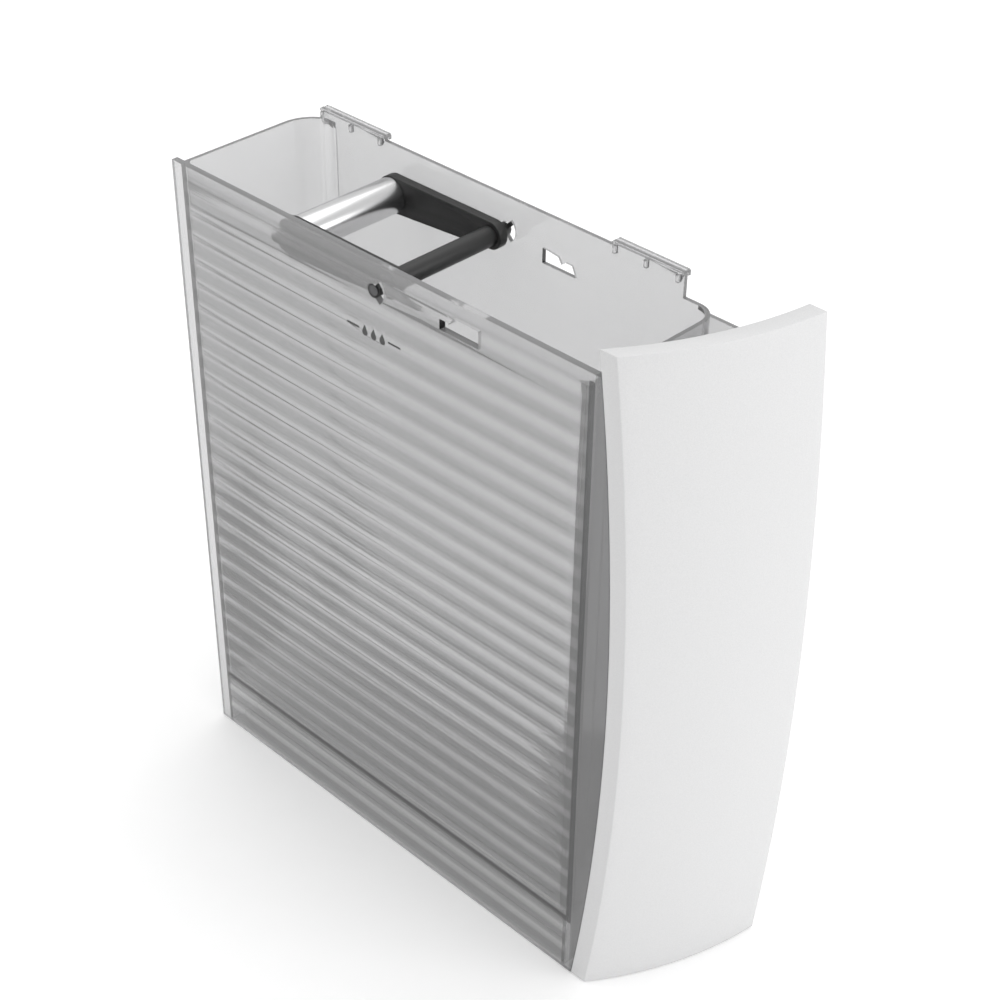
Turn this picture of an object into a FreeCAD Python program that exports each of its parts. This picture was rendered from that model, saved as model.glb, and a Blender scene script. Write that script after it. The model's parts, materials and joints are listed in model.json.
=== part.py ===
import FreeCAD, Part
import math
import os

# Water tank of a dehumidifier with its bow front panel, folding handle and float.
# Millimetres, +Z up. The panel faces -Y and the tank's ribbed side wall faces -X.
# The origin is the centre of the footprint on the surface that the tank stands on.
# Sub-parts are drawn from the tank's back left bottom corner: across is measured to the
# right of the ribbed wall's outer face, ahead is measured towards the front panel.

# Tank moulding
TANK_WIDTH = 80.0
TANK_HEIGHT = 330.0
RIGHT_RIM_RISE = 2.0
BUCKET_BACK = 5.0
BUCKET_FRONT = 251.5
FRONT_RIM_STEP = 7.5
RIBBED_WALL = 3.2
WALL = 2.0
FLOOR_UNDERSIDE = 31.5
FLOOR = 2.5
FRONT_WALL = 2.0
CORNER_BACK_RIGHT = 18.0
CORNER_FRONT_RIGHT = 11.0
CORNER_FRONT_LEFT = 6.0
CORNER_BACK_LEFT = 3.0
RIGHT_FIN_TOP = 320.0

# Ribs on the inside of the ribbed wall
RIB_PITCH = 12.26
RIB_WIDTH = 7.4
RIB_HEIGHT = 0.35
RIB_LOWEST = 13.5
RIB_HIGHEST = 321.0

# Rim tabs that hang the tank on the machine's rails
TAB_RISE = 4.5
TAB_OUT = 2.0
TAB_LIP = 1.4
TAB_TURN = 2.6
TAB_INWARD = 0.4
BACK_TAB_START = 12.0
BACK_TAB_LENGTH = 44.0
FRONT_TAB_START = 194.0
FRONT_TAB_LENGTH = 39.0
GUSSET = 1.6
GUSSET_OUT = 1.8
GUSSET_DROP = 5.0
GUSSETS_PER_TAB = 3

# Latch windows: each outline is (ahead, up) from the window's lower back corner, and its
# top edge carries a small tooth.
LEFT_WINDOW_START = 171.5
LEFT_WINDOW_BOTTOM = 314.3
LEFT_WINDOW = ((0, 0), (22, 0), (22, 8.2), (8, 8.2), (5, 4), (5, 5), (0, 5))
RIGHT_WINDOW_START = 155.0
RIGHT_WINDOW_BOTTOM = 308.2
RIGHT_WINDOW = ((0, 0), (19.5, 0), (17, 5.2), (13.5, 5.2), (11, 3.4), (9, 6.4), (0, 7.4))

# Front panel
PANEL_WIDTH = 83.0
PANEL_HEIGHT = 342.0
PANEL_LEFT_REACH = 265.3
PANEL_RIGHT_REACH = 299.5
PANEL_PLAN_RADIUS = 180.0
PANEL_LEFT_BOW = 13.0
PANEL_RIGHT_BOW = 8.2
PANEL_DEPTH = 8.6
PANEL_SKIN = 2.5
BACKING = 2.0
BACKING_CLEARANCE = 0.25
PANEL_GAP = 0.2

# Screws that hold the panel's backing to the tank
SCREW_RADIUS = 1.75
SCREW_HEAD_RADIUS = 3.4
SCREW_HEAD = 2.2
SCREW_BITE = 10.0
SCREW_CLEARANCE = 0.25
THREAD_GAP = 0.02
SLOT_WIDTH = 0.8
SLOT_DEPTH = 1.0
BOSS_RADIUS = 4.5
CUP_RADIUS = 5.4
CUP_WALL = 1.4
CUP_FLOOR = 1.6
CUP_DEPTH = 6.0
BOSS_FROM_LEFT = 19.0
BOSS_FROM_RIGHT = 16.0
BOSS_HEIGHTS = (62.0, 282.0)

# Handle
PIVOT_AHEAD = 132.0
PIVOT_UP = 316.2
GRIP_FROM_PIVOT = 62.0
GRIP_BELOW_PIVOT = 2.7
GRIP_RADIUS = 8.5
GRIP_WALL = 1.4
ARM_THICK = 4.5
ARM_LEFT_GAP = 6.2
ARM_RIGHT_GAP = 4.8
ARM_GRIP_RADIUS = 9.0
ARM_PIVOT_RADIUS = 6.6
COLLAR_RADIUS = 4.2
COLLAR_LENGTH = 2.6
TRUNNION_RADIUS = 3.2
TRUNNION_FIT = 0.08
TRUNNION_SETBACK = 1.0
LUG_WIDTH = 2.0
LUG_REACH = 5.8
LUG_STANDOFF = 0.5
LUG_FOLDED = 45.0
HANDLE_SWING = 90.0
STOP_GAP = 0.05
KEYHOLE_RADIUS = 6.4
ROD_RADIUS = 1.9
ROD_FIT = 0.05
SLEEVE_RADIUS = 4.7
SLEEVE_END_PLAY = 0.15
ROD_CAP_RADIUS = 2.6
ROD_CAP = 0.8
PLUG_LENGTH = 14.0
PLUG_FIT = 0.1
GRIP_SCREW_RADIUS = 1.5
GRIP_SCREW_HEAD_RADIUS = 2.8
GRIP_SCREW_HEAD = 1.6
GRIP_SCREW_LENGTH = 12.0

# Float and its guide
FLOAT_WIDTH = 34.0
FLOAT_DEPTH = 40.0
FLOAT_HEIGHT = 50.0
FLOAT_WALL = 1.6
FLOAT_FROM_RIGHT = 16.0
FLOAT_FLOOR_GAP = 3.0
FLOAT_LID = 2.0
GUIDE_BASE_WIDTH = 16.0
GUIDE_BASE = 2.0
GUIDE_STEM_WIDTH = 4.0
GUIDE_STEM = 4.0
GUIDE_FLANGE_WIDTH = 11.0
GUIDE_FLANGE = 2.0
GUIDE_RUN_GAP = 0.5
GUIDE_TOP = 302.0
STOP_HEIGHT = 6.0
STOP_WALL = 2.0
STOP_FIT = 0.1
MAGNET_RADIUS = 5.0
MAGNET_THICK = 4.0
MAGNET_FIT = 0.1
MAGNET_CAP = 1.2
MAGNET_CAP_FLANGE = 1.5
STAKE_RADIUS = 1.2
STAKE_FROM_END = 12.0

# Level mark printed on the ribbed wall
MARK_UP = 294.9
MARK_MIDDLE = 131.5
MARK_DEPTH = 0.2
DASH_LENGTH = 7.5
DASH_HEIGHT = 1.0
DROP_RADIUS = 1.7
DROP_HEIGHT = 5.4
DROP_PITCH = 5.4
DROPS = 3

# Working values: how far a cut runs past a face, points each way on a bowed surface, and
# the distance under which two places count as one.
MARGIN = 1.0
SURFACE_POINTS = 9
TOUCHING = 0.01


def at(across, ahead, up):
    return FreeCAD.Vector(across, -ahead, up)


def block(across, ahead, up):
    """Box between two distances each way."""
    return Part.makeBox(
        across[1] - across[0],
        ahead[1] - ahead[0],
        up[1] - up[0],
        at(across[0], ahead[1], up[0]),
    )


def rod_across(radius, start, end, ahead, up):
    """Round bar that runs across the tank."""
    return Part.makeCylinder(radius, end - start, at(start, ahead, up), FreeCAD.Vector(1, 0, 0))


def rod_ahead(radius, start, end, across, up):
    """Round bar that points at the front panel."""
    return Part.makeCylinder(radius, end - start, at(across, start, up), FreeCAD.Vector(0, -1, 0))


def rod_up(radius, bottom, top, across, ahead):
    return Part.makeCylinder(radius, top - bottom, at(across, ahead, bottom))


def plate(outline, start, end):
    """Flat plate square to the across direction, from (ahead, up) points."""
    points = [at(start, ahead, up) for ahead, up in outline]
    face = Part.Face(Part.makePolygon(points + points[:1]))
    return face.extrude(FreeCAD.Vector(end - start, 0, 0))


# Front panel's bow: an arc in plan, and a bow in height that is flatter on the right.
CHORD_AHEAD = PANEL_RIGHT_REACH - PANEL_LEFT_REACH
CHORD = math.hypot(PANEL_WIDTH, CHORD_AHEAD)
CHORD_TO_CENTRE = math.sqrt(PANEL_PLAN_RADIUS ** 2 - (CHORD / 2) ** 2)
CENTRE_ACROSS = PANEL_WIDTH / 2 + CHORD_TO_CENTRE * CHORD_AHEAD / CHORD
CENTRE_AHEAD = (PANEL_LEFT_REACH + PANEL_RIGHT_REACH) / 2 - CHORD_TO_CENTRE * PANEL_WIDTH / CHORD


def panel_reach(across, up):
    """How far ahead the panel's outer face lies."""
    plan = CENTRE_AHEAD + math.sqrt(PANEL_PLAN_RADIUS ** 2 - (across - CENTRE_ACROSS) ** 2)
    share = across / PANEL_WIDTH
    bow = PANEL_LEFT_BOW + (PANEL_RIGHT_BOW - PANEL_LEFT_BOW) * share
    height = 2 * up / PANEL_HEIGHT - 1
    return plan + bow * (1 - height ** 2)


def bow_slab(across, up, near, far):
    """Slab that follows the panel's face, between two depths behind it."""
    steps = SURFACE_POINTS - 1
    grid = []
    for row in range(SURFACE_POINTS):
        height = up[0] + (up[1] - up[0]) * row / steps
        line = []
        for column in range(SURFACE_POINTS):
            side = across[0] + (across[1] - across[0]) * column / steps
            line.append(at(side, panel_reach(side, height) - near, height))
        grid.append(line)
    surface = Part.BSplineSurface()
    surface.interpolate(grid)
    return surface.toShape().extrude(FreeCAD.Vector(0, far - near, 0))


OVERALL_WIDTH = max(PANEL_WIDTH, TANK_WIDTH + TAB_OUT)
OVERALL_DEPTH = panel_reach(PANEL_WIDTH, PANEL_HEIGHT / 2)
PLACE = FreeCAD.Vector(-OVERALL_WIDTH / 2, OVERALL_DEPTH / 2, 0)

FLOOR_TOP = FLOOR_UNDERSIDE + FLOOR
INNER_LEFT = RIBBED_WALL
INNER_RIGHT = TANK_WIDTH - WALL
INNER_FRONT = BUCKET_FRONT - FRONT_WALL
INNER_BACK = BUCKET_BACK + WALL
LEFT_ARM_FACE = INNER_LEFT + ARM_LEFT_GAP
RIGHT_ARM_FACE = INNER_RIGHT - ARM_RIGHT_GAP
LEFT_ARM = (LEFT_ARM_FACE, LEFT_ARM_FACE + ARM_THICK)
RIGHT_ARM = (RIGHT_ARM_FACE - ARM_THICK, RIGHT_ARM_FACE)
GRIP_AHEAD = PIVOT_AHEAD - GRIP_FROM_PIVOT
GRIP_UP = PIVOT_UP - GRIP_BELOW_PIVOT


def bucket_prism(sides, ahead, up, inset):
    """Prism with rounded right corners, drawn in from the bucket's outside by an inset."""
    body = block(sides, ahead, up)
    for depth, radius in ((ahead[0], CORNER_BACK_RIGHT), (ahead[1], CORNER_FRONT_RIGHT)):
        body = body.makeFillet(radius - inset, upright_edges(body, sides[1], depth))
    return body


def upright_edges(body, across, ahead):
    found = []
    for edge in body.Edges:
        ends = [vertex.Point for vertex in edge.Vertexes]
        if all(math.hypot(end.x - across, end.y + ahead) < TOUCHING for end in ends):
            found.append(edge)
    return found


def ribs():
    """Shallow round ribs along the inside of the ribbed wall."""
    curve_radius = RIB_WIDTH ** 2 / (8 * RIB_HEIGHT) + RIB_HEIGHT / 2
    axis_across = INNER_LEFT + RIB_HEIGHT - curve_radius
    back = INNER_BACK - WALL / 2
    front = INNER_FRONT + WALL / 2
    floor_middle = FLOOR_UNDERSIDE + FLOOR / 2
    found = []
    up = RIB_LOWEST
    while up < RIB_HIGHEST:
        bar = rod_ahead(curve_radius, back, front, axis_across, up)
        inside = block((INNER_LEFT - MARGIN / 2, INNER_LEFT + RIB_HEIGHT + MARGIN), (back, front),
                       (up - RIB_WIDTH, up + RIB_WIDTH))
        if abs(up - floor_middle) > RIB_WIDTH / 2 + FLOOR / 2:
            found.append(bar.common(inside))
        up += RIB_PITCH
    return found


def turned(angle, along, aside):
    """Point (ahead, up) at a distance from the pivot along an angle, and beside that line."""
    turn = math.radians(angle)
    ahead = PIVOT_AHEAD + along * math.cos(turn) - aside * math.sin(turn)
    up = PIVOT_UP + along * math.sin(turn) + aside * math.cos(turn)
    return ahead, up


def radial_bar(angle, reach, half, start, end):
    """Straight bar from the pivot outwards at an angle."""
    corners = [turned(angle, 0, -half), turned(angle, reach, -half),
               turned(angle, reach, half), turned(angle, 0, half)]
    return plate(corners, start, end)


def keyhole(start, end):
    """Seat for a trunnion, with the arc that its lug swings in."""
    seat = rod_across(TRUNNION_RADIUS + TRUNNION_FIT, start, end, PIVOT_AHEAD, PIVOT_UP)
    limit = rod_across(KEYHOLE_RADIUS, start, end, PIVOT_AHEAD, PIVOT_UP)
    half = LUG_WIDTH / 2 + STOP_GAP
    reach = KEYHOLE_RADIUS * 2
    raised = LUG_FOLDED - HANDLE_SWING
    swing = plate([turned(0, 0, 0), turned(raised, reach, 0), turned(LUG_FOLDED, reach, 0)], start, end)
    for angle in (raised, LUG_FOLDED):
        swing = swing.fuse(radial_bar(angle, reach, half, start, end))
    return seat.fuse(swing.common(limit)).removeSplitter()


def window(outline, back, bottom, start, end):
    return plate([(back + ahead, bottom + up) for ahead, up in outline], start, end)


def rim_tab(start, length):
    """Hook along the right wall's rim: a raised web, a turned lip and gussets inside it."""
    end = start + length
    inside = INNER_RIGHT - TAB_INWARD
    outside = TANK_WIDTH + TAB_OUT
    crown = TANK_HEIGHT + TAB_RISE
    web = block((INNER_RIGHT, TANK_WIDTH), (start, end), (TANK_HEIGHT - TAB_RISE, crown))
    lip = block((inside, outside), (start, end), (crown - TAB_LIP, crown))
    turn = block((outside - TAB_LIP, outside), (start, end), (crown - TAB_TURN, crown))
    tab = web.fuse([lip, turn]).removeSplitter()
    tops = []
    for edge in tab.Edges:
        at_crown = abs(edge.CenterOfMass.z - crown) < TOUCHING
        if at_crown and edge.BoundBox.YLength < TOUCHING:
            tops.append(edge)
    tab = tab.makeChamfer(TAB_LIP / 2, tops)
    spacing = (length - GUSSET * GUSSETS_PER_TAB) / (GUSSETS_PER_TAB - 1)
    for index in range(GUSSETS_PER_TAB):
        back = start + GUSSET + index * spacing
        tab = tab.fuse(block((INNER_RIGHT - GUSSET_OUT, INNER_RIGHT + MARGIN), (back, back + GUSSET),
                             (crown - GUSSET_DROP, crown - TAB_LIP)))
    return tab


def cup_rear(across, up):
    """Where a screw cup of the backing meets its post on the tank."""
    return panel_reach(across, up) - PANEL_DEPTH - CUP_DEPTH


def screw_places():
    places = (BOSS_FROM_LEFT, TANK_WIDTH - BOSS_FROM_RIGHT)
    return [(across, up) for across in places for up in BOSS_HEIGHTS]


def panel_bosses():
    """Blind posts outside the front wall that take the backing's screws."""
    start = BUCKET_FRONT - FRONT_WALL / 2
    posts = []
    for across, up in screw_places():
        posts.append(rod_ahead(BOSS_RADIUS, start, cup_rear(across, up), across, up))
    return posts


def boss_pilots():
    holes = []
    for across, up in screw_places():
        tip = cup_rear(across, up)
        bottom = tip - SCREW_BITE - MARGIN
        holes.append(rod_ahead(SCREW_RADIUS + THREAD_GAP, bottom, tip + MARGIN, across, up))
    return holes


def tank_body():
    """Clear moulding: bucket, skirt under it, side fins, ribs, tabs, keyholes and windows."""
    inner_sides = (INNER_LEFT, INNER_RIGHT)
    inner_ahead = (INNER_BACK, INNER_FRONT)
    body = bucket_prism((0, TANK_WIDTH), (BUCKET_BACK, BUCKET_FRONT), (0, TANK_HEIGHT), 0)
    inside = bucket_prism(inner_sides, inner_ahead, (FLOOR_TOP, TANK_HEIGHT + MARGIN), WALL)
    for depth, radius in ((INNER_BACK, CORNER_BACK_LEFT), (INNER_FRONT, CORNER_FRONT_LEFT)):
        inside = inside.makeFillet(radius, upright_edges(inside, INNER_LEFT, depth))
    below = bucket_prism(inner_sides, inner_ahead, (-MARGIN, FLOOR_UNDERSIDE), WALL)
    full_rim_end = FRONT_TAB_START + FRONT_TAB_LENGTH
    low_rim = block((INNER_LEFT, TANK_WIDTH + MARGIN), (full_rim_end, BUCKET_FRONT + MARGIN),
                    (TANK_HEIGHT - FRONT_RIM_STEP, TANK_HEIGHT + MARGIN))
    body = body.cut([inside, below, low_rim])
    fin_reach = OVERALL_DEPTH + MARGIN
    pieces = [block((0, RIBBED_WALL), (0, fin_reach), (0, TANK_HEIGHT))]
    pieces.append(block((INNER_RIGHT, TANK_WIDTH), (BUCKET_FRONT - CORNER_FRONT_RIGHT, fin_reach),
                        (0, RIGHT_FIN_TOP)))
    pieces.append(block((INNER_RIGHT, TANK_WIDTH), (BUCKET_BACK + CORNER_BACK_RIGHT, full_rim_end),
                        (TANK_HEIGHT - MARGIN, TANK_HEIGHT + RIGHT_RIM_RISE)))
    pieces += panel_bosses()
    pieces += ribs()
    pieces += stake_pins(STAKE_RADIUS)
    pieces.append(rim_tab(BACK_TAB_START, BACK_TAB_LENGTH))
    pieces.append(rim_tab(FRONT_TAB_START, FRONT_TAB_LENGTH))
    body = body.fuse(pieces)
    panel_space = bow_slab((-MARGIN, PANEL_WIDTH + MARGIN), (-MARGIN, PANEL_HEIGHT + MARGIN),
                           -BUCKET_FRONT, PANEL_DEPTH + PANEL_GAP)
    left = (-MARGIN, INNER_LEFT + MARGIN)
    right = (INNER_RIGHT - MARGIN, TANK_WIDTH + MARGIN)
    cuts = [panel_space]
    cuts += boss_pilots()
    cuts += [keyhole(*left), keyhole(*right)]
    cuts.append(window(LEFT_WINDOW, LEFT_WINDOW_START, LEFT_WINDOW_BOTTOM, *left))
    cuts.append(window(RIGHT_WINDOW, RIGHT_WINDOW_START, RIGHT_WINDOW_BOTTOM, *right))
    cuts += mark_pieces()
    return body.cut(cuts).removeSplitter()


def drop(ahead):
    """Small water drop, point up."""
    centre_up = MARK_UP - DROP_HEIGHT / 2 + DROP_RADIUS
    bead = rod_across(DROP_RADIUS, 0, MARK_DEPTH, ahead, centre_up)
    slope = math.acos(DROP_RADIUS / (DROP_HEIGHT - DROP_RADIUS))
    side = DROP_RADIUS * math.sin(slope)
    touch_up = centre_up + DROP_RADIUS * math.cos(slope)
    point = plate([(ahead - side, touch_up), (ahead + side, touch_up),
                   (ahead, centre_up + DROP_HEIGHT - DROP_RADIUS)], 0, MARK_DEPTH)
    return bead.fuse(point)


def mark_pieces():
    """Level mark: a row of drops between two dashes."""
    first = MARK_MIDDLE - DROP_PITCH * (DROPS - 1) / 2
    pieces = [drop(first + index * DROP_PITCH) for index in range(DROPS)]
    clear = DROP_PITCH * DROPS / 2 + DROP_RADIUS / 2
    low = MARK_UP - DASH_HEIGHT / 2
    pieces.append(block((0, MARK_DEPTH), (MARK_MIDDLE - clear - DASH_LENGTH, MARK_MIDDLE - clear),
                        (low, low + DASH_HEIGHT)))
    pieces.append(block((0, MARK_DEPTH), (MARK_MIDDLE + clear, MARK_MIDDLE + clear + DASH_LENGTH),
                        (low, low + DASH_HEIGHT)))
    return pieces


def front_panel():
    """Painted outer shell: a tray that is open at the back."""
    shell = bow_slab((0, PANEL_WIDTH), (0, PANEL_HEIGHT), 0, PANEL_DEPTH)
    hollow = bow_slab((PANEL_SKIN, PANEL_WIDTH - PANEL_SKIN), (PANEL_SKIN, PANEL_HEIGHT - PANEL_SKIN),
                      PANEL_SKIN, PANEL_DEPTH + MARGIN)
    return shell.cut(hollow)


def panel_backing():
    """Plain inner frame that closes the tray, with a cup for each screw."""
    inset = PANEL_SKIN + BACKING_CLEARANCE
    sides = (inset, PANEL_WIDTH - inset)
    heights = (inset, PANEL_HEIGHT - inset)
    frame = bow_slab(sides, heights, PANEL_DEPTH - BACKING, PANEL_DEPTH)
    in_front = bow_slab(sides, heights, 0, PANEL_DEPTH - BACKING)
    for across, up in screw_places():
        rear = cup_rear(across, up)
        front = panel_reach(across, up)
        cup = rod_ahead(CUP_RADIUS, rear, front, across, up)
        frame = frame.fuse(cup.cut(in_front))
        frame = frame.cut(rod_ahead(CUP_RADIUS - CUP_WALL, rear + CUP_FLOOR, front, across, up))
        frame = frame.cut(rod_ahead(SCREW_RADIUS + SCREW_CLEARANCE, rear - MARGIN, front, across, up))
    return largest(frame)


def largest(shape):
    return max(shape.Solids, key=lambda solid: solid.Volume)


def cross_slot(tip, outward, width):
    """Cross recess in a screw head, cut in from its tip."""
    up = FreeCAD.Vector(0, 0, 1)
    bars = []
    for long_way in (up, outward.cross(up)):
        short_way = outward.cross(long_way)
        corner = tip - outward * SLOT_DEPTH - long_way * (width / 2) - short_way * (SLOT_WIDTH / 2)
        corners = [corner, corner + long_way * width, corner + long_way * width + short_way * SLOT_WIDTH,
                   corner + short_way * SLOT_WIDTH, corner]
        bars.append(Part.Face(Part.makePolygon(corners)).extrude(outward * (SLOT_DEPTH + MARGIN)))
    return bars[0].fuse(bars[1])


def panel_screws():
    """Four self-tapping screws whose heads sit in the backing's cups."""
    screws = []
    for across, up in screw_places():
        rear = cup_rear(across, up)
        seat = rear + CUP_FLOOR
        shank = rod_ahead(SCREW_RADIUS, rear - SCREW_BITE, seat, across, up)
        head = rod_ahead(SCREW_HEAD_RADIUS, seat, seat + SCREW_HEAD, across, up)
        slot = cross_slot(at(across, seat + SCREW_HEAD, up), FreeCAD.Vector(0, -1, 0), SCREW_HEAD_RADIUS)
        screws.append(shank.fuse(head).cut(slot))
    return Part.makeCompound(screws)


def arm_plate(span):
    """Tapered bar round the grip's end and the pivot."""
    run = math.hypot(GRIP_FROM_PIVOT, GRIP_BELOW_PIVOT)
    droop = math.atan2(GRIP_BELOW_PIVOT, GRIP_FROM_PIVOT)
    taper = math.acos((ARM_GRIP_RADIUS - ARM_PIVOT_RADIUS) / run)
    edges = []
    for side in (1, -1):
        turn = math.pi + droop + side * taper
        reach_ahead = math.cos(turn)
        reach_up = math.sin(turn)
        grip_point = (GRIP_AHEAD + ARM_GRIP_RADIUS * reach_ahead, GRIP_UP + ARM_GRIP_RADIUS * reach_up)
        pivot_point = (PIVOT_AHEAD + ARM_PIVOT_RADIUS * reach_ahead,
                       PIVOT_UP + ARM_PIVOT_RADIUS * reach_up)
        edges.append((grip_point, pivot_point))
    upper, lower = edges
    bar = plate([upper[0], upper[1], lower[1], lower[0]], span[0], span[1])
    bar = bar.fuse(rod_across(ARM_GRIP_RADIUS, span[0], span[1], GRIP_AHEAD, GRIP_UP))
    return bar.fuse(rod_across(ARM_PIVOT_RADIUS, span[0], span[1], PIVOT_AHEAD, PIVOT_UP))


def handle_arm(span, wall_face, trunnion_end):
    """Side arm with a collar, a trunnion and its stop lug at the pivot."""
    outer_face = min(span, key=lambda across: abs(across - wall_face))
    outward = math.copysign(1, wall_face - outer_face)
    collar = sorted((outer_face, outer_face + outward * COLLAR_LENGTH))
    trunnion = sorted((outer_face, trunnion_end))
    lug = sorted((wall_face - outward * LUG_STANDOFF, trunnion_end))
    head = sorted((outer_face + outward * MARGIN, outer_face - outward * (GRIP_SCREW_HEAD + THREAD_GAP)))
    bar = arm_plate(span)
    bar = bar.fuse(rod_across(COLLAR_RADIUS, collar[0], collar[1], PIVOT_AHEAD, PIVOT_UP))
    bar = bar.fuse(rod_across(TRUNNION_RADIUS, trunnion[0], trunnion[1], PIVOT_AHEAD, PIVOT_UP))
    bar = bar.fuse(radial_bar(LUG_FOLDED, LUG_REACH, LUG_WIDTH / 2, lug[0], lug[1]))
    bore = rod_across(ROD_RADIUS + ROD_FIT, -MARGIN, TANK_WIDTH + MARGIN, PIVOT_AHEAD, PIVOT_UP)
    screw_hole = rod_across(GRIP_SCREW_RADIUS + SCREW_CLEARANCE, span[0] - MARGIN, span[1] + MARGIN,
                            GRIP_AHEAD, GRIP_UP)
    recess = rod_across(GRIP_SCREW_HEAD_RADIUS + SCREW_CLEARANCE, head[0], head[1], GRIP_AHEAD, GRIP_UP)
    return bar.cut([bore, screw_hole, recess]).removeSplitter()


def grip_tube():
    """Drawn aluminium tube between the arms."""
    outer = rod_across(GRIP_RADIUS, LEFT_ARM[1], RIGHT_ARM[0], GRIP_AHEAD, GRIP_UP)
    return outer.cut(rod_across(GRIP_RADIUS - GRIP_WALL, LEFT_ARM[1], RIGHT_ARM[0], GRIP_AHEAD, GRIP_UP))


def grip_plug(start, end):
    """Moulded plug inside one end of the grip tube, bored for the arm's screw."""
    plug = rod_across(GRIP_RADIUS - GRIP_WALL - PLUG_FIT, start, end, GRIP_AHEAD, GRIP_UP)
    return plug.cut(rod_across(GRIP_SCREW_RADIUS + THREAD_GAP, start, end, GRIP_AHEAD, GRIP_UP))


def grip_screw(head_outside, head_inside, tip):
    low = min(head_outside, head_inside)
    high = max(head_outside, head_inside)
    head = rod_across(GRIP_SCREW_HEAD_RADIUS, low, high, GRIP_AHEAD, GRIP_UP)
    shank = rod_across(GRIP_SCREW_RADIUS, min(head_inside, tip), max(head_inside, tip), GRIP_AHEAD, GRIP_UP)
    outward = FreeCAD.Vector(math.copysign(1, head_outside - head_inside), 0, 0)
    slot = cross_slot(at(head_outside, GRIP_AHEAD, GRIP_UP), outward, GRIP_SCREW_HEAD_RADIUS)
    return head.fuse(shank).cut(slot)


def grip_screws():
    """One screw through each arm into its plug."""
    left = grip_screw(LEFT_ARM[0], LEFT_ARM[0] + GRIP_SCREW_HEAD, LEFT_ARM[0] + GRIP_SCREW_LENGTH)
    right = grip_screw(RIGHT_ARM[1], RIGHT_ARM[1] - GRIP_SCREW_HEAD, RIGHT_ARM[1] - GRIP_SCREW_LENGTH)
    return Part.makeCompound([left, right])


def pivot_rod():
    """Steel rod through both trunnions."""
    return rod_across(ROD_RADIUS, TRUNNION_SETBACK, TANK_WIDTH - TRUNNION_SETBACK, PIVOT_AHEAD, PIVOT_UP)


def spacer_sleeve():
    """Black tube over the rod that keeps the arms apart."""
    start = LEFT_ARM[1] + SLEEVE_END_PLAY
    end = RIGHT_ARM[0] - SLEEVE_END_PLAY
    sleeve = rod_across(SLEEVE_RADIUS, start, end, PIVOT_AHEAD, PIVOT_UP)
    return sleeve.cut(rod_across(ROD_RADIUS + ROD_FIT, start, end, PIVOT_AHEAD, PIVOT_UP))


def rod_cap(start):
    """Thin cap pressed on one end of the rod."""
    return rod_across(ROD_CAP_RADIUS, start, start + ROD_CAP, PIVOT_AHEAD, PIVOT_UP)


FLOAT_ACROSS = INNER_RIGHT - FLOAT_FROM_RIGHT - FLOAT_WIDTH / 2
GUIDE_BACK = INNER_FRONT - GUIDE_BASE - GUIDE_STEM - GUIDE_FLANGE
FLOAT_FRONT = INNER_FRONT - GUIDE_BASE - GUIDE_RUN_GAP
FLOAT_BACK = FLOAT_FRONT - FLOAT_DEPTH
FLOAT_BOTTOM = FLOOR_TOP + FLOAT_FLOOR_GAP
FLOAT_TOP = FLOAT_BOTTOM + FLOAT_HEIGHT
MAGNET_AHEAD = FLOAT_BACK + FLOAT_WIDTH / 2
LID_TOP = FLOAT_TOP + FLOAT_LID


def guide_section(grow, bottom, top):
    """Stem and flange of the guide's tee, grown by a running gap."""
    stem_half = GUIDE_STEM_WIDTH / 2 + grow
    flange_half = GUIDE_FLANGE_WIDTH / 2 + grow
    stem = block((FLOAT_ACROSS - stem_half, FLOAT_ACROSS + stem_half),
                 (GUIDE_BACK + GUIDE_FLANGE - grow, INNER_FRONT - GUIDE_BASE), (bottom, top))
    flange = block((FLOAT_ACROSS - flange_half, FLOAT_ACROSS + flange_half),
                   (GUIDE_BACK - grow, GUIDE_BACK + GUIDE_FLANGE + grow), (bottom, top))
    return stem.fuse(flange)


def stake_pins(radius):
    """Pins moulded on the front wall that the guide is staked to."""
    pins = []
    root = INNER_FRONT + FRONT_WALL / 2
    for side in (-1, 1):
        across = FLOAT_ACROSS + side * (GUIDE_BASE_WIDTH / 2 - 2 * STAKE_RADIUS)
        for up in (FLOOR_TOP + STAKE_FROM_END, GUIDE_TOP - STAKE_FROM_END):
            pins.append(rod_ahead(radius, INNER_FRONT - GUIDE_BASE, root, across, up))
    return pins


def float_guide():
    """Upright tee rail that the float slides on."""
    half = GUIDE_BASE_WIDTH / 2
    base = block((FLOAT_ACROSS - half, FLOAT_ACROSS + half), (INNER_FRONT - GUIDE_BASE, INNER_FRONT),
                 (FLOOR_TOP, GUIDE_TOP))
    rail = base.fuse(guide_section(0, FLOOR_TOP, GUIDE_TOP))
    return rail.cut(stake_pins(STAKE_RADIUS + ROD_FIT)).removeSplitter()


def float_stop():
    """Clip on top of the guide that keeps the float on it."""
    half = GUIDE_FLANGE_WIDTH / 2 + STOP_FIT + STOP_WALL
    bottom = GUIDE_TOP - STOP_HEIGHT
    clip = block((FLOAT_ACROSS - half, FLOAT_ACROSS + half),
                 (GUIDE_BACK - STOP_FIT - STOP_WALL, INNER_FRONT - GUIDE_BASE - STOP_FIT),
                 (bottom, GUIDE_TOP + STOP_WALL))
    return clip.cut(guide_section(STOP_FIT, bottom - MARGIN, GUIDE_TOP + STOP_FIT)).removeSplitter()


def float_plan(shrink, front, bottom, top):
    """Float's outline: square at the guide, half round at the back."""
    radius = FLOAT_WIDTH / 2 - shrink
    middle = FLOAT_BACK + FLOAT_WIDTH / 2
    square = block((FLOAT_ACROSS - radius, FLOAT_ACROSS + radius), (middle, front), (bottom, top))
    return square.fuse(rod_up(radius, bottom, top, FLOAT_ACROSS, middle)).removeSplitter()


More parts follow.
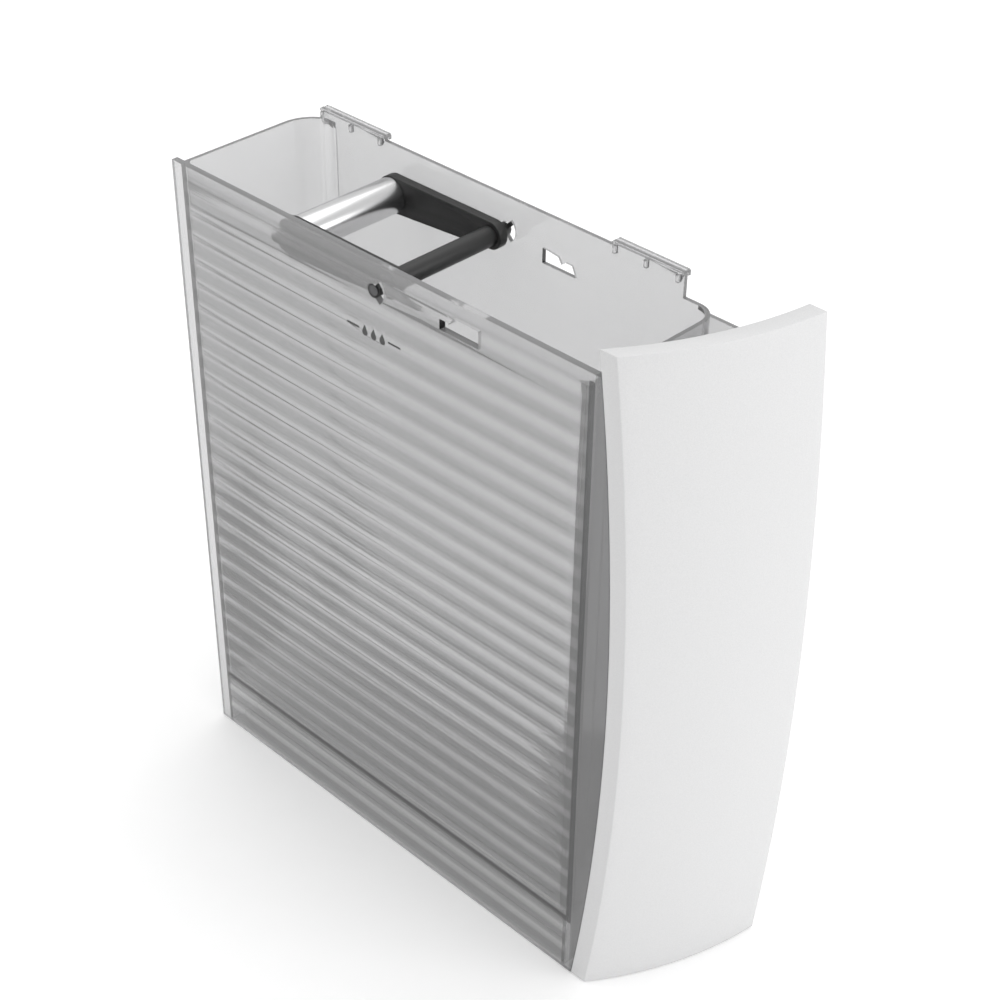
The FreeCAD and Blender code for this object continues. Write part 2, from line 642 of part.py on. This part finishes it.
def float_shell():
    """Lower shell of the hollow float, with the channel that runs on the guide."""
    shell = float_plan(0, FLOAT_FRONT, FLOAT_BOTTOM, FLOAT_TOP)
    chamber_front = GUIDE_BACK - GUIDE_RUN_GAP - FLOAT_WALL
    chamber = float_plan(FLOAT_WALL, chamber_front, FLOAT_BOTTOM + FLOAT_WALL, FLOAT_TOP + MARGIN)
    channel = guide_section(GUIDE_RUN_GAP, FLOAT_BOTTOM - MARGIN, FLOAT_TOP + MARGIN)
    return shell.cut([chamber, channel]).removeSplitter()


def float_lid():
    """Lid welded on the shell, with a pocket for the magnet."""
    lid = float_plan(0, FLOAT_FRONT, FLOAT_TOP, LID_TOP)
    pocket_radius = MAGNET_RADIUS + MAGNET_FIT
    pocket_bottom = LID_TOP - MAGNET_THICK - MAGNET_FIT
    boss_radius = pocket_radius + FLOAT_WALL
    boss = rod_up(boss_radius, pocket_bottom - FLOAT_WALL, LID_TOP, FLOAT_ACROSS, MAGNET_AHEAD)
    pocket = rod_up(pocket_radius, pocket_bottom, LID_TOP + MARGIN, FLOAT_ACROSS, MAGNET_AHEAD)
    channel = guide_section(GUIDE_RUN_GAP, FLOAT_TOP - MARGIN, LID_TOP + MARGIN)
    return lid.fuse(boss).cut([pocket, channel]).removeSplitter()


def float_magnet():
    bottom = LID_TOP - MAGNET_THICK - MAGNET_FIT / 2
    return rod_up(MAGNET_RADIUS, bottom, bottom + MAGNET_THICK, FLOAT_ACROSS, MAGNET_AHEAD)


def magnet_cap():
    """Disc glued over the magnet's pocket."""
    radius = MAGNET_RADIUS + MAGNET_CAP_FLANGE
    return rod_up(radius, LID_TOP, LID_TOP + MAGNET_CAP, FLOAT_ACROSS, MAGNET_AHEAD)


def save(name, shape):
    placed = shape.copy()
    placed.translate(PLACE)
    placed.exportStep("parts/" + name + ".step")
    print(name, "solids", len(placed.Solids), "valid", placed.isValid(), "volume", round(placed.Volume))


os.makedirs("parts", exist_ok=True)
save("tank_body", tank_body())
save("level_mark", Part.makeCompound(mark_pieces()))
save("front_panel", front_panel())
save("panel_backing", panel_backing())
save("panel_screws", panel_screws())
save("handle_arm_left", handle_arm(LEFT_ARM, INNER_LEFT, TRUNNION_SETBACK))
save("handle_arm_right", handle_arm(RIGHT_ARM, INNER_RIGHT, TANK_WIDTH - TRUNNION_SETBACK))
save("grip_tube", grip_tube())
save("grip_plug_left", grip_plug(LEFT_ARM[1], LEFT_ARM[1] + PLUG_LENGTH))
save("grip_plug_right", grip_plug(RIGHT_ARM[0] - PLUG_LENGTH, RIGHT_ARM[0]))
save("grip_screws", grip_screws())
save("pivot_rod", pivot_rod())
save("spacer_sleeve", spacer_sleeve())
save("rod_cap_left", rod_cap(TRUNNION_SETBACK - ROD_CAP))
save("rod_cap_right", rod_cap(TANK_WIDTH - TRUNNION_SETBACK))
save("float_guide", float_guide())
save("float_stop", float_stop())
save("float_shell", float_shell())
save("float_lid", float_lid())
save("float_magnet", float_magnet())
save("magnet_cap", magnet_cap())
print("place", PLACE)
print("pivot", at(0, PIVOT_AHEAD, PIVOT_UP) + PLACE)
print("float travel", GUIDE_TOP - STOP_HEIGHT - LID_TOP)
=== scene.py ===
import json
import math

import bpy
from mathutils import Matrix, Vector

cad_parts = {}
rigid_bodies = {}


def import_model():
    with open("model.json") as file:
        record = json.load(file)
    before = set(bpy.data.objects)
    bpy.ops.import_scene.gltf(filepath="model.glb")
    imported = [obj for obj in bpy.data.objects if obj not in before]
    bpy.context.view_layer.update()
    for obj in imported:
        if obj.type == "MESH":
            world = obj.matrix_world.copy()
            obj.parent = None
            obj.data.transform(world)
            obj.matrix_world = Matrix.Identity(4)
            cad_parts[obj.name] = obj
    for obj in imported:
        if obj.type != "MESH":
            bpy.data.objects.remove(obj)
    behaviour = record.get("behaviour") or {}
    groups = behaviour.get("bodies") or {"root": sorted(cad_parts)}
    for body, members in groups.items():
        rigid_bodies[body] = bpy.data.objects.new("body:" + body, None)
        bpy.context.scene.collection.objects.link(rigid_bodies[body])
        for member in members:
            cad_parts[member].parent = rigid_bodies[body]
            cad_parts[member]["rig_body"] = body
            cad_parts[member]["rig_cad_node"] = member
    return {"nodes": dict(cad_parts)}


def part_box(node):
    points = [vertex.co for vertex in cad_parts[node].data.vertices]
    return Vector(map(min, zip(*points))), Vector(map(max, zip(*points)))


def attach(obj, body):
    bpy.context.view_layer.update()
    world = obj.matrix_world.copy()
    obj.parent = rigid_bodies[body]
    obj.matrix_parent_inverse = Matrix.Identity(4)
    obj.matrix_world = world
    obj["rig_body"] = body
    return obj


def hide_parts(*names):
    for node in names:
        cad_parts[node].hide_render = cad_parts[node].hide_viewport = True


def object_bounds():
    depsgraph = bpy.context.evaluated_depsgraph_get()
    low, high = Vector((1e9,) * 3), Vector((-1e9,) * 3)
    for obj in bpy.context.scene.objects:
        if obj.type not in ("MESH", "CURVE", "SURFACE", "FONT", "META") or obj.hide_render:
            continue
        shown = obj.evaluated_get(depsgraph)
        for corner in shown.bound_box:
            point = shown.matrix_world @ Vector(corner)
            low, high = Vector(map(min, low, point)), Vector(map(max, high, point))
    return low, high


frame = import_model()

scene = bpy.context.scene
nodes = frame["nodes"]
cad_low, cad_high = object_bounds()

# The camera looks down on the tank from its ribbed side and its front, from about a metre away.
camera_place = (-0.5201, -0.5141, 0.7230)
camera_heading = -46.22
camera_tilt = 90 - 35.61
camera_roll = 0.86
camera_data = bpy.data.cameras.new("camera")
camera_data.lens = 71.35
camera_data.shift_x = -0.0048
camera_data.shift_y = 0.0017
camera_data.clip_start = 0.05
camera_data.clip_end = 50
camera = bpy.data.objects.new("camera", camera_data)
scene.collection.objects.link(camera)
camera.matrix_world = (
    Matrix.Translation(camera_place)
    @ Matrix.Rotation(math.radians(camera_heading), 4, "Z")
    @ Matrix.Rotation(math.radians(camera_tilt), 4, "X")
    @ Matrix.Rotation(math.radians(camera_roll), 4, "Z")
)
scene.camera = camera
scene.view_settings.view_transform = "Standard"

# The studio is a pale tent: an even world, a broad soft light above and one to the front right.
world = bpy.data.worlds.new("studio")
world.use_nodes = True
world.node_tree.nodes["Background"].inputs["Color"].default_value = (1, 1, 1, 1)
world.node_tree.nodes["Background"].inputs["Strength"].default_value = 0.80
scene.world = world


def soft_light(name, place, target, width, height, watts):
    """A rectangular soft light aimed at a point."""
    data = bpy.data.lights.new(name, "AREA")
    data.shape = "RECTANGLE"
    data.size = width
    data.size_y = height
    data.energy = watts
    light = bpy.data.objects.new(name, data)
    scene.collection.objects.link(light)
    light.location = place
    light.rotation_euler = (Vector(target) - Vector(place)).to_track_quat("-Z", "Y").to_euler()


soft_light("key", place=(0.5, -1.9, 0.75), target=(0.0, -0.1, 0.17), width=1.4, height=1.2, watts=13)
soft_light("top", place=(0.2, 0.3, 2.2), target=(0.0, 0.0, 0.0), width=2.4, height=2.4, watts=18)

# The floor is a plain sheet of white card under the tank. This section also holds the two
# small classes that every finish is written with.


class Socket:
    """Wraps a node's output so that shader maths reads as plain expressions."""

    def __init__(self, finish, output):
        self.finish = finish
        self.output = output

    def math(self, operation, left, right):
        return self.finish.node("ShaderNodeMath", {"operation": operation}, {0: left, 1: right})

    def __add__(self, other):
        return self.math("ADD", self, other)

    def __sub__(self, other):
        return self.math("SUBTRACT", self, other)

    def __rsub__(self, other):
        return self.math("SUBTRACT", other, self)

    def __mul__(self, other):
        return self.math("MULTIPLY", self, other)

    def __lt__(self, other):
        return self.math("LESS_THAN", self, other)

    def __gt__(self, other):
        return self.math("GREATER_THAN", self, other)

    __radd__ = __add__
    __rmul__ = __mul__


class Finish:
    """One material, with its shader and the nodes behind it."""

    def __init__(self, name, **constants):
        self.material = bpy.data.materials.new(name)
        self.material.use_nodes = True
        self.tree = self.material.node_tree
        self.shader = self.tree.nodes["Principled BSDF"]
        self.end = self.tree.nodes["Material Output"]
        for socket, value in constants.items():
            self.shader.inputs[socket.replace("_", " ")].default_value = value

    def node(self, kind, settings, sockets, out=0):
        node = self.tree.nodes.new(kind)
        for key, value in settings.items():
            setattr(node, key, value)
        for key, value in sockets.items():
            if isinstance(value, Socket):
                self.tree.links.new(value.output, node.inputs[key])
            else:
                node.inputs[key].default_value = value
        return Socket(self, node.outputs[out])

    def feed(self, socket, value):
        self.tree.links.new(value.output, self.shader.inputs[socket])

    def place(self):
        return self.node("ShaderNodeTexCoord", {}, {}, "Object")

    def stretched(self, scale):
        return self.node("ShaderNodeMapping", {}, {"Vector": self.place(), "Scale": scale})

    def noise(self, scale, detail, vector):
        sockets = {"Vector": vector, "Scale": scale, "Detail": detail}
        return self.node("ShaderNodeTexNoise", {}, sockets, "Fac")

    def mixed(self, share, first, second):
        """A colour between two others, each of them a socket or three numbers."""
        colours = [value if isinstance(value, Socket) else (*value, 1) for value in (first, second)]
        return self.node("ShaderNodeMix", {"data_type": "RGBA"}, {0: share, 6: colours[0], 7: colours[1]}, 2)

    def relief(self, height, distance, strength=1.0):
        self.feed("Normal", self.node(
            "ShaderNodeBump", {}, {"Height": height, "Distance": distance, "Strength": strength}))

    def wear(self, piece):
        piece.data.materials.clear()
        piece.data.materials.append(self.material)


bpy.ops.object.select_all(action="DESELECT")
bpy.ops.mesh.primitive_plane_add(size=14, location=(0, 0, -0.0005))
floor = bpy.context.active_object
floor.name = "floor"
white_card = Finish("white_card", Roughness=0.95)
white_card.shader.inputs["Specular IOR Level"].default_value = 0.1
white_card.shader.inputs["Emission Color"].default_value = (1, 1, 1, 1)
white_card.shader.inputs["Emission Strength"].default_value = 0.12
card_fibre = white_card.noise(60.0, 3.0, white_card.place())
white_card.feed("Base Color", white_card.mixed(card_fibre, (0.93, 0.93, 0.93), (0.95, 0.95, 0.95)))
white_card.wear(floor)

# The tank is one injection moulding in clear smoke-grey plastic: bucket, skirt, ribbed side
# wall, side fins and rim hooks. The ribs' light and shade is painted into its colour as light
# and dark bands. Painted shade darkens a strip ahead of the bucket's front wall, draws dark
# lines where its front wall and floor meet the ribbed wall, and blackens the back ends of its
# latch windows.


def softened(node, name, edge, segments, body, smooth=35):
    """A copy of a drawn part with its loose triangles joined and its sharp edges rounded."""
    bpy.ops.object.select_all(action="DESELECT")
    piece = nodes[node].copy()
    piece.data = nodes[node].data.copy()
    piece.name = name
    piece.parent = None
    scene.collection.objects.link(piece)
    piece.select_set(True)
    bpy.context.view_layer.objects.active = piece
    bpy.ops.object.mode_set(mode="EDIT")
    bpy.ops.mesh.select_all(action="SELECT")
    bpy.ops.mesh.remove_doubles(threshold=0.000002)
    if edge:
        bpy.ops.mesh.dissolve_limited(angle_limit=math.radians(0.4))
    bpy.ops.object.mode_set(mode="OBJECT")
    if edge:
        bpy.ops.object.modifier_add(type="BEVEL")
        rounding = piece.modifiers[-1]
        rounding.width = edge
        rounding.segments = segments
        rounding.limit_method = "ANGLE"
        rounding.angle_limit = math.radians(40)
        rounding.use_clamp_overlap = True
        bpy.ops.object.modifier_apply(modifier=rounding.name)
    bpy.ops.object.shade_smooth_by_angle(angle=math.radians(smooth))
    piece.select_set(False)
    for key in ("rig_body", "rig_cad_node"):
        if key in piece:
            del piece[key]
    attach(piece, body)
    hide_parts(node)
    return piece


tank = softened("tank_body", "tank_moulding", edge=0, segments=0, body="tank", smooth=14)
rib_pitch = 0.01226
rib_middle = 0.0135
ribbed_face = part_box("tank_body")[0].x + 0.0043
bucket_back = 0.1462
line_start = cad_high.y - 0.2525
line_end = cad_high.y - 0.2555
floor_foot = 0.0318
floor_head = 0.0350
rim_end = 0.3265
reveal_half = 0.0002
smoke = Finish("clear_smoke_plastic", IOR=1.55)
smoke.shader.inputs["Transmission Weight"].default_value = 0.80
smoke.shader.inputs["Specular IOR Level"].default_value = 0.5
place = smoke.place()
across, ahead, up = (smoke.node("ShaderNodeSeparateXYZ", {}, {"Vector": place}, side) for side in "XYZ")
# Painted light and shade: the ribs show as light and dark bands painted into the colour, darker and sharper
# towards the bottom. The same wave also bumps the ribbed wall.
turns = (up - rib_middle) * (2 * math.pi / rib_pitch)
wave = smoke.node("ShaderNodeMath", {"operation": "COSINE"}, {0: turns})
lowness = smoke.node("ShaderNodeMapRange", {"interpolation_type": "SMOOTHSTEP"},
                     {"Value": up, "From Min": 0.26, "From Max": 0.06, "To Min": 0.0, "To Max": 1.0})
rib_shade_and_relief = smoke.node("ShaderNodeMapRange", {"interpolation_type": "SMOOTHSTEP"},
                   {"Value": wave - lowness * 0.35, "From Min": -0.45, "From Max": 0.75})
rib_shade_and_relief = (rib_shade_and_relief - 0.5) * (lowness * 0.5 + 0.5) + 0.5
fade_up = smoke.node("ShaderNodeMapRange", {"interpolation_type": "SMOOTHSTEP"},
                     {"Value": up, "From Min": 0.327, "From Max": 0.322})
between_walls = (ahead < bucket_back) * (ahead > line_start)
on_ribs = (across < ribbed_face) * fade_up * between_walls
haze = smoke.noise(9.0, 3.0, place)
plain = smoke.mixed(haze, (0.79, 0.79, 0.795), (0.83, 0.83, 0.835))
rib_shade_bands = smoke.mixed(rib_shade_and_relief, (0.55, 0.55, 0.553), (0.94, 0.94, 0.943))
walls = smoke.mixed(on_ribs, plain, rib_shade_bands)
# Painted shade: a darker grey strip on the ribbed wall ahead of the bucket's front wall, where the space
# behind the panel lies in shade.
shade_ahead_of_bucket = (ahead < line_end) * (across < ribbed_face)
shaded = smoke.mixed(shade_ahead_of_bucket, walls, (0.52, 0.52, 0.523))
# Painted shade: dark lines on the ribbed wall where the front wall and the floor meet it.
front_shade_line = (ahead < line_start) * (ahead > line_end) * (up > floor_foot) * (up < rim_end)
floor_shade_line = (up > floor_foot) * (up < floor_head) * (ahead > line_start) * (ahead < bucket_back)
root_shade_lines = (front_shade_line + floor_shade_line) * (across < cad_low.x + 0.001)
with_shade_lines = smoke.mixed(root_shade_lines, shaded, (0.17, 0.17, 0.172))
# Painted shade: near-black at the back ends of both latch windows, where the cut edges of the clear wall look
# dark.
left_end = cad_high.y - 0.1715
left_reveal_shade = (ahead < left_end + reveal_half) * (ahead > left_end - reveal_half) * (across < ribbed_face)
left_reveal_shade = left_reveal_shade * (up > 0.3144) * (up < 0.3192)
right_end = cad_high.y - 0.1550
right_reveal_shade = (ahead < right_end + reveal_half) * (ahead > right_end - reveal_half) * (across > 0.03)
right_reveal_shade = right_reveal_shade * (up > 0.3083) * (up < 0.3155)
smoke.feed("Base Color", smoke.mixed(left_reveal_shade + right_reveal_shade, with_shade_lines, (0.004, 0.004, 0.004)))
smoke.feed("Roughness", smoke.noise(14.0, 2.0, place) * 0.05 + 0.05)
smoke.relief(rib_shade_and_relief * on_ribs, 0.0002)
absorption = smoke.node("ShaderNodeVolumeAbsorption", {}, {"Color": (0.30, 0.30, 0.305, 1), "Density": 60.0})
smoke.tree.links.new(absorption.output, smoke.end.inputs["Volume"])
smoke.wear(tank)

# The level mark is black ink, pad printed in a shallow recess on the ribbed wall.
mark_ink = Finish("pad_printed_ink", Roughness=0.5)
ink_film = mark_ink.noise(900.0, 4.0, mark_ink.place())
mark_ink.feed("Base Color", mark_ink.mixed(ink_film, (0.02, 0.02, 0.02), (0.07, 0.07, 0.07)))
mark_ink.wear(nodes["level_mark"])

# The front panel is a thin moulded tray, bowed both ways and sprayed with a pearl silver
# paint. The paint's flakes show as a very fine speckle.
panel = softened("front_panel", "painted_front_panel", 0.00035, 3, "tank")
pearl = Finish("pearl_silver_paint", IOR=1.5)
pearl.shader.inputs["Coat Roughness"].default_value = 0.25
pearl.shader.inputs["Specular IOR Level"].default_value = 0.4
paint_place = pearl.place()
flake = pearl.node("ShaderNodeTexVoronoi", {}, {"Vector": paint_place, "Scale": 4200.0}, "Color")
flake_light = pearl.node("ShaderNodeSeparateColor", {}, {"Color": flake}, 0)
cloud = pearl.noise(1500.0, 4.0, paint_place)
speckle = flake_light * 0.6 + cloud * 0.4
pearl.feed("Base Color", pearl.mixed(speckle, (0.59, 0.59, 0.593), (0.67, 0.67, 0.673)))
pearl.feed("Roughness", 0.5 - flake_light * 0.16)
pearl.feed("Coat Weight", cloud * 0.4)
pearl.relief(cloud, 0.00004)
pearl.wear(panel)

# The backing is a dark grey moulded frame that closes the panel's tray and carries its
# screws. The plugs in the grip are moulded from the same material.
backing = softened("panel_backing", "panel_backing_frame", 0.0003, 2, "tank")
grey_moulding = Finish("grey_moulding", Roughness=0.5)
grain = grey_moulding.noise(1500.0, 3.0, grey_moulding.place())
grey_moulding.feed("Base Color", grey_moulding.mixed(grain, (0.05, 0.05, 0.052), (0.085, 0.085, 0.088)))
grey_moulding.feed("Roughness", grain * 0.2 + 0.4)
grey_moulding.relief(grain, 0.00002)
grey_moulding.wear(backing)
for name in ("grip_plug_left", "grip_plug_right"):
    grey_moulding.wear(nodes[name])

# The panel screws are zinc-plated steel, self-tapping, with a cross recess.
zinc = Finish("zinc_plate", Metallic=1.0)
crystals = zinc.noise(2200.0, 4.0, zinc.place())
zinc.feed("Base Color", zinc.mixed(crystals, (0.50, 0.50, 0.49), (0.68, 0.68, 0.67)))
zinc.feed("Roughness", crystals * 0.25 + 0.25)
zinc.relief(crystals, 0.00002)
zinc.wear(nodes["panel_screws"])

# The arms are black mouldings with a fine spark-eroded grain. Each has its collar, trunnion
# and stop lug moulded on, and a rounded edge all round.
black_grain = Finish("black_grained_plastic", IOR=1.5)
spark = black_grain.noise(2400.0, 4.0, black_grain.place())
black_grain.feed("Base Color", black_grain.mixed(spark, (0.012, 0.012, 0.012), (0.030, 0.030, 0.030)))
black_grain.feed("Roughness", spark * 0.2 + 0.34)
black_grain.relief(spark, 0.00001)
for side in ("left", "right"):
    black_grain.wear(softened("handle_arm_" + side, "handle_side_arm_" + side, 0.0006, 3, "handle"))

# The grip is drawn aluminium tube, satin anodised, with its ends turned square and eased.


def turned_tube(name, node, wall, ease):
    """A tube that runs across the tank, with rounded edges at both ends."""
    low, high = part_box(node)
    bpy.ops.object.select_all(action="DESELECT")
    bpy.ops.mesh.primitive_cylinder_add(
        vertices=128, radius=(high.z - low.z) / 2, depth=high.x - low.x, end_fill_type="NOTHING",
        location=(low + high) / 2, rotation=(0, math.pi / 2, 0))
    piece = bpy.context.active_object
    piece.name = name
    bpy.ops.object.transform_apply(location=True, rotation=True, scale=True)
    bpy.ops.object.modifier_add(type="SOLIDIFY")
    piece.modifiers[-1].thickness = wall
    piece.modifiers[-1].offset = -1
    bpy.ops.object.modifier_apply(modifier=piece.modifiers[-1].name)
    bpy.ops.object.modifier_add(type="BEVEL")
    rounding = piece.modifiers[-1]
    rounding.width = ease
    rounding.segments = 4
    rounding.limit_method = "ANGLE"
    rounding.angle_limit = math.radians(60)
    bpy.ops.object.modifier_apply(modifier=rounding.name)
    bpy.ops.object.shade_smooth_by_angle(angle=math.radians(35))
    piece.select_set(False)
    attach(piece, "handle")
    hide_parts(node)
    return piece


grip = turned_tube("aluminium_grip", "grip_tube", wall=0.0014, ease=0.0004)
satin = Finish("satin_anodised_aluminium", Metallic=1.0)
drawing_lines = satin.noise(1.0, 5.0, satin.stretched((40, 2600, 2600)))
satin.feed("Base Color", satin.mixed(drawing_lines, (0.66, 0.66, 0.665), (0.74, 0.74, 0.745)))
satin.feed("Roughness", drawing_lines * 0.04 + 0.24)
satin.relief(drawing_lines, 0.0000005)
satin.wear(grip)

# The sleeve is a black plastic tube that turns on the rod and keeps the arms apart.
sleeve = turned_tube("black_spacer_sleeve", "spacer_sleeve", wall=0.0027, ease=0.0004)
black_grain.wear(sleeve)

# The rod is drawn and blackened steel, and a thin steel cap is pressed on each end. The two
# screws that hold the grip are blackened the same way.
blackened_steel = Finish("blackened_steel", Metallic=1.0)
scratches = blackened_steel.noise(1.0, 4.0, blackened_steel.stretched((60, 1800, 1800)))
blackened_steel.feed("Base Color", blackened_steel.mixed(scratches, (0.07, 0.07, 0.072), (0.14, 0.14, 0.143)))
blackened_steel.feed("Roughness", scratches * 0.2 + 0.3)
blackened_steel.relief(scratches, 0.00001)
blackened_steel.wear(nodes["pivot_rod"])
blackened_steel.wear(nodes["grip_screws"])
for side in ("left", "right"):
    cap = softened("rod_cap_" + side, "pressed_rod_cap_" + side, 0.0003, 3, "handle")
    blackened_steel.wear(cap)

# The guide and its clip are pale natural plastic, staked to the front wall inside the tank.
natural = Finish("natural_plastic", IOR=1.5)
natural.shader.inputs["Transmission Weight"].default_value = 0.5
cloudiness = natural.noise(300.0, 3.0, natural.place())
natural.feed("Base Color", natural.mixed(cloudiness, (0.50, 0.50, 0.51), (0.62, 0.62, 0.63)))
natural.feed("Roughness", cloudiness * 0.2 + 0.3)
natural.wear(softened("float_guide", "float_guide_rail", 0.0002, 2, "tank"))
natural.wear(softened("float_stop", "float_guide_clip", 0.0003, 2, "tank"))

# The float is a hollow dark grey shell with a welded lid. A ferrite magnet sits in the lid
# under a glued cap and works the machine's full-tank switch.
dark_shell = Finish("dark_grey_moulding", IOR=1.5)
matt = dark_shell.noise(1200.0, 3.0, dark_shell.place())
dark_shell.feed("Base Color", dark_shell.mixed(matt, (0.045, 0.045, 0.05), (0.085, 0.085, 0.09)))
dark_shell.feed("Roughness", matt * 0.2 + 0.4)
dark_shell.relief(matt, 0.00002)
for node, name in (("float_shell", "float_lower_shell"), ("float_lid", "float_welded_lid"),
                   ("magnet_cap", "glued_magnet_cap")):
    dark_shell.wear(softened(node, name, 0.0005, 3, "float"))
ferrite = Finish("ground_ferrite", Roughness=0.6)
sinter = ferrite.noise(1600.0, 5.0, ferrite.place())
ferrite.feed("Base Color", ferrite.mixed(sinter, (0.03, 0.03, 0.03), (0.07, 0.07, 0.07)))
ferrite.wear(nodes["float_magnet"])
